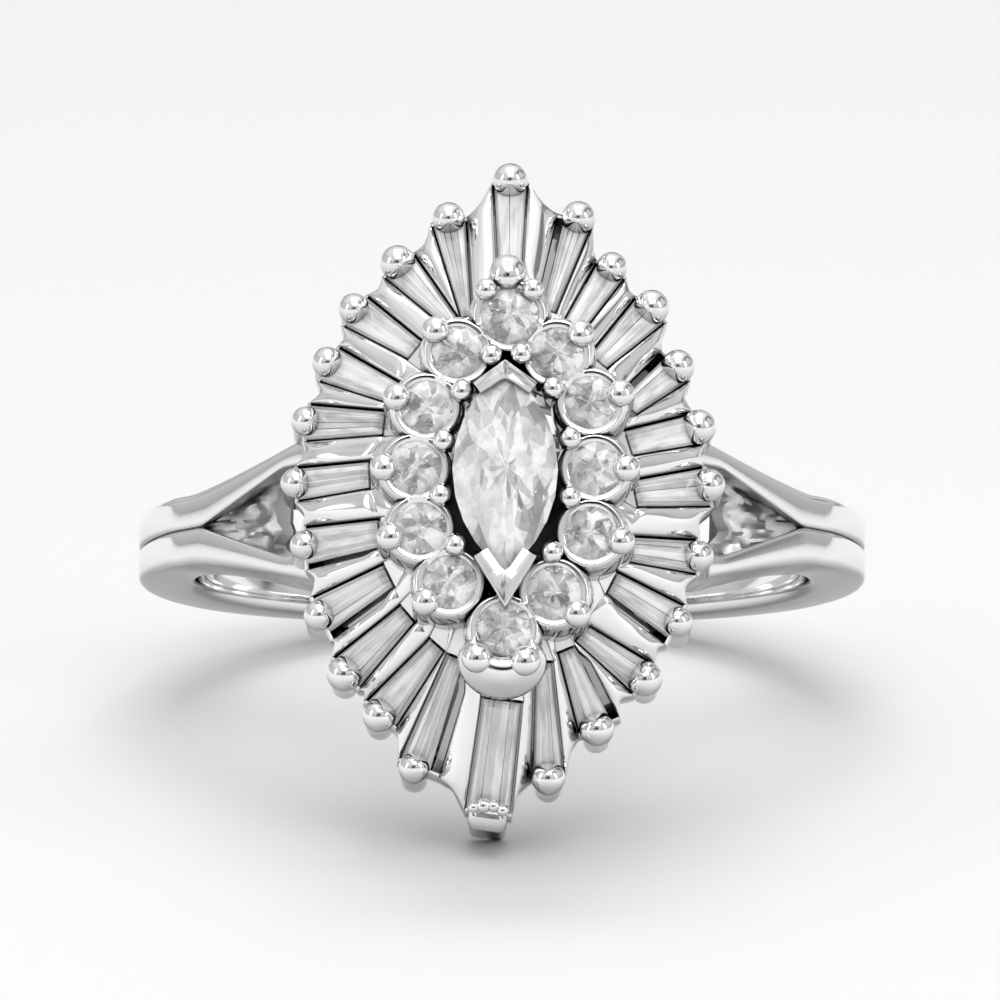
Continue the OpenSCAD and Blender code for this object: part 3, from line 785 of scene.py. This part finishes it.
def cups():
    shape = Shape()
    ways = [Vector((math.cos(a), math.sin(a), 0)) for a in angles(72)]
    for i, (x, y, size) in enumerate(ROUNDS):
        centre = Vector((x, y, 0))
        wider = (size - USUAL_ROUND) / 2
        lip = size / 2 - 0.035
        seat = size / 2 + 0.012
        inside = [(lip, 15.985), (lip, 15.975), (seat, 15.955), (seat, 15.88), (0.42, 15.2), (0.40, 12.7)]
        near = [stone_at(i + s) - centre for s in (-1, 1)]
        rings = []
        for r, z in CUP_WALL:
            rings.append([centre + way * up_to_neighbours(r + wider, way, near) + up(z) for way in ways])
        for r, z in inside:
            rings.append([centre + way * r + up(z) for way in ways])
        shape.loft(rings, closed=True)
    shape.make("cluster_cups", POLISHED, 45)


# Latitudes of the rows of a bead's rounded top, in degrees
DOME_ROWS = (-38, -25, -12, 0, 12, 24, 36, 48, 60, 71, 81, 88)


def bead(shape, place, radius, post, foot, top, lean=Vector((0, 0, 0))):
    """Bead with a slightly flattened dome on a thinner post. Its top leans by the given step."""
    squash = 0.9
    profile = [(post, foot), (post, top - radius * 0.9)]
    for latitude in DOME_ROWS:
        a = math.radians(latitude)
        profile.append((radius * math.cos(a), top + radius * squash * math.sin(a)))
    base = len(shape.points)
    shape.turned(place, profile)
    for point in shape.points[base:]:
        point += lean * max(0.0, point.z - (top - radius)) / radius


def beads():
    shape = Shape()
    bead_z = ROUNDS_Z + 0.12
    outer_foot, inner_foot = 13.7, 14.6
    outer_step, inner_step = 0.88, 0.62
    for i in range(len(ROUNDS)):
        here = stone_at(i)
        if i not in (TOP_ROUND, LOW_ROUND):
            out = outward(here)
            bead(shape, here + out * outer_step, radius=0.36, post=0.32, foot=outer_foot, top=bead_z,
                 lean=-out * 0.05)
        if i not in (LOW_ROUND, LOW_ROUND - 1):
            between = (here + stone_at(i + 1)) / 2
            bead(shape, between - outward(between) * inner_step, radius=0.31, post=0.28,
                 foot=inner_foot, top=bead_z)
    top = stone_at(TOP_ROUND)
    crown = top + Vector((-0.05, 1.26, 0))
    bead(shape, crown, radius=0.48, post=0.42, foot=outer_foot, top=ROUNDS_Z - 0.05,
         lean=Vector((0, -0.08, 0)))
    for x in (-0.62, 0.62):
        bead(shape, top + Vector((x, 0.68, 0)), radius=0.29, post=0.24, foot=outer_foot,
             top=bead_z + 0.06)
    shape.make("cluster_beads", POLISHED, 50)


def low_cup():
    """The large rounded lip below the lowest round stone, with a shoulder bead at each side."""
    shape = Shape()
    centre = stone_at(LOW_ROUND)
    facing_clock, half_turn = 183, 72
    inner_r, crest, inner_curve = 0.70, 0.3, 1.9
    under_width, under_depth, under_rise = 0.92, 1.25, 0.85
    steps, profile_steps = 48, 14
    # Each pair is the value at an end of the lip and the value in its middle
    thickness, crest_rise, outer_fall = (0.16, 1.10), (0.10, 0.20), (0.30, 0.85)
    rings = []
    for k in range(steps + 1):
        t = -1 + 2 * k / steps
        way = direction(facing_clock - t * half_turn)
        body = math.sqrt(max(0.0, 1 - t * t))
        thick = mix(*thickness, body ** 1.1)
        top = ROUNDS_Z + mix(*crest_rise, body)
        fall = mix(*outer_fall, body)
        section = []
        for j in range(profile_steps + 1):
            u = j / profile_steps
            inside = inner_curve * (crest - u) ** 2
            outside = fall * ((u - crest) / (1 - crest)) ** 2
            section.append((u, top - (inside if u < crest else outside)))
        for j in range(profile_steps - 1, -1, -1):
            u = j / profile_steps
            section.append((u * under_width, top - fall - under_depth + under_rise * u ** 3))
        rings.append([centre + way * (inner_r + thick * u) + up(z) for u, z in section])
    shape.loft(rings)
    for x, y in ((-0.70, -0.76), (0.56, -0.84)):
        bead(shape, centre + Vector((x, y, 0)), radius=0.41, post=0.36, foot=14.6, top=ROUNDS_Z + 0.08)
    shape.make("low_cup", POLISHED, 60)


# Centre: V prongs and the bridge that they stand on
def v_prong(shape, tip, turn, lean, out, arm, width, slope):
    """Chevron prong over a tip of the marquise: two wings that meet at a crease.

    Out is how far its corner stands past the stone's tip, arm the length of a wing, width that of its top,
    and slope the fall of the top toward the outside.
    """
    foot = 14.1
    top = MARQUISE_Z + 0.36
    end_width, end_drop = 0.85, 0.10
    edges = (0.0, 0.0, 0.08, 0.10)
    steps = 8
    spin = Matrix.Rotation(math.radians(turn), 3, "Z")
    for side in (-1, 1):
        rings = []
        for k in range(steps + 1):
            t = k / steps
            outer = Vector((side * math.sin(lean) * arm * t, out - math.cos(lean) * arm * t, 0))
            inward = Vector((side * math.cos(lean), math.sin(lean), 0))
            inner = outer - inward * width * mix(1, end_width, t)
            if side * inner.x < 0 or k == 0:
                inner = Vector((0, out - width / math.sin(lean), 0))
            section = []
            for u, z in rounded_box((0, foot), (1, top - end_drop * t * t), edges):
                fall = slope * (1 - u) if z > foot else 0
                section.append(spin @ (mix(outer, inner, u) + up(z - fall)) + tip)
            rings.append(section)
        shape.loft(rings)


def v_prongs():
    shape = Shape()
    x, y = MARQUISE_AT
    half = MARQUISE[1] / 2
    arc_r = (MARQUISE[0] ** 2 + MARQUISE[1] ** 2) / (4 * MARQUISE[0])
    stone_lean = math.asin(half / arc_r)
    upper_tip, lower_tip = Vector((x, y + half, 0)), Vector((x, y - half, 0))
    v_prong(shape, upper_tip, 0, stone_lean, out=0.22, arm=1.05, width=0.45, slope=0.15)
    v_prong(shape, lower_tip, 180, LOWER_LEAN, out=1.0, arm=1.6, width=0.52, slope=0.0)
    shape.make("v_prongs", POLISHED, 35)


# Bars of the bridge in the plan of the head. Columns: low corner, high corner
BRIDGE_BARS = [((-0.3, -4.2), (0.5, 4.1)), ((-2.3, -0.4), (2.4, 0.3)), ((-1.7, -1.9), (1.8, -0.4))]


def bridge():
    shape = Shape()
    for low, high in BRIDGE_BARS:
        outline = rounded_box(low, high, (0.1,) * 4, 3)
        shape.loft([[Vector((x, y, z)) for x, y in outline] for z in (BRIDGE_LOW_Z, BRIDGE_TOP_Z)])
    # The bridge is coloured nearly black as painted shadow
    shape.make("bridge", SHADOW_DARK_METAL)


shank()
webs()
gallery()
skirt()
claws()
cups()
beads()
low_cup()
v_prongs()
bridge()

# Stones: the model's own solids, each with its cut as a material
for name, node in frame["nodes"].items():
    if name == "mount":
        continue
    if name == "centre_stone":
        cut = marquise_cut()
    elif name.startswith("baguette"):
        cut = step_cut(int(name[-2:]))
    else:
        cut = round_cut(int(name[-2:]))
    node.data.materials.clear()
    node.data.materials.append(cut)


# Floor
def pale_floor():
    material, graph = new_material("pale_floor")
    shader = graph.nodes["Principled BSDF"].inputs
    shader["Base Color"].default_value = (0.90, 0.90, 0.90, 1)
    shader["Roughness"].default_value = 0.6
    reach = 3.0
    corners = [(-reach, -reach, 0), (reach, -reach, 0), (reach, reach, 0), (-reach, reach, 0)]
    mesh = bpy.data.meshes.new("floor")
    mesh.from_pydata(corners, [], [(0, 1, 2, 3)])
    mesh.materials.append(material)
    floor = bpy.data.objects.new("floor", mesh)
    bpy.context.collection.objects.link(floor)


pale_floor()

# Camera, at the photograph's angle to the ring: its line of sight is PHOTO_LEAN degrees off the square
# view of the face. It aims TARGET_UP millimetres above the hole's middle, in the picture.
FRAME_PX = 1000
FOCAL_PX = 7744
CENTRE_PX = 502
PHOTO_LEAN = 7.75
TARGET_UP = 1.363
CAMERA_REACH = 0.22
lift = TILT - math.radians(PHOTO_LEAN)
to_camera = Vector((0, -math.cos(lift), math.sin(lift)))
image_up = Vector((0, math.sin(lift), math.cos(lift)))
pixel = CAMERA_REACH / FOCAL_PX
aside = Vector(((FRAME_PX / 2 - CENTRE_PX) * pixel, 0, 0))
target = HOLE_MIDDLE + image_up * TARGET_UP * MM + aside
camera_data = bpy.data.cameras.new("camera")
camera_data.sensor_width = 36
camera_data.angle = 2 * math.atan(FRAME_PX / 2 / FOCAL_PX)
camera = bpy.data.objects.new("camera", camera_data)
camera.location = target + to_camera * CAMERA_REACH
camera.rotation_euler = to_camera.to_track_quat("Z", "Y").to_euler()
bpy.context.collection.objects.link(camera)
bpy.context.scene.camera = camera

# Light. Columns: name, place, width, height, power in watts. Each lamp faces the finger hole.
SOFTBOXES = [
    ("back_box", (0.0, 0.10, 0.32), 0.20, 0.10, 0.22),
    ("top_box", (0.03, -0.20, 0.28), 0.24, 0.14, 0.27),
    ("left_box", (-0.30, -0.12, 0.12), 0.08, 0.20, 0.09),
    ("right_box", (0.30, -0.14, 0.14), 0.08, 0.20, 0.13),
]
# Tent: grey levels by height from straight down to straight up, by closeness to the lens, and in patches
TENT_HEIGHT = [(0.0, 0.66), (0.5, 0.72), (0.56, 0.86), (0.75, 1.0), (0.90, 1.35), (1.0, 1.7)]
LENS_PORT = [(0.0, 1.0), (0.93, 1.0), (0.965, 0.85), (0.980, 0.60), (0.989, 0.10), (0.994, 0.02)]
TENT_PATCHES = [(0.36, 0.25), (0.45, 0.85), (0.60, 1.0)]


def softbox(name, place, wide, high, power):
    data = bpy.data.lights.new(name, "AREA")
    data.shape = "RECTANGLE"
    data.size = wide
    data.size_y = high
    data.energy = power
    lamp = bpy.data.objects.new(name, data)
    lamp.location = place
    lamp.rotation_euler = (Vector(place) - HOLE_MIDDLE).to_track_quat("Z", "Y").to_euler()
    bpy.context.collection.objects.link(lamp)


def studio():
    """A pale tent round the ring, darker below, with a dark port where the lens looks in."""
    world = bpy.data.worlds.new("studio")
    bpy.context.scene.world = world
    world.use_nodes = True
    graph = Graph(world.node_tree)
    way = graph.add("ShaderNodeTexCoord", {}).outputs["Generated"]
    height = graph.math("MULTIPLY_ADD", graph.parts(way)["Z"], 0.5, 0.5)
    toward = graph.add("ShaderNodeVectorMath", {0: way, 1: to_camera}, operation="DOT_PRODUCT")
    shade = graph.ramp(height, TENT_HEIGHT)
    port = graph.ramp(toward.outputs["Value"], LENS_PORT)
    patches = graph.ramp(graph.noise(way, scale=2.2, detail=2), TENT_PATCHES)
    tent = graph.multiply_colours(graph.multiply_colours(shade, port), patches)
    background = graph.nodes["Background"].inputs
    graph.put(background["Color"], tent)
    background["Strength"].default_value = 0.66


for columns in SOFTBOXES:
    softbox(*columns)
studio()
bpy.context.scene.view_settings.view_transform = "Standard"
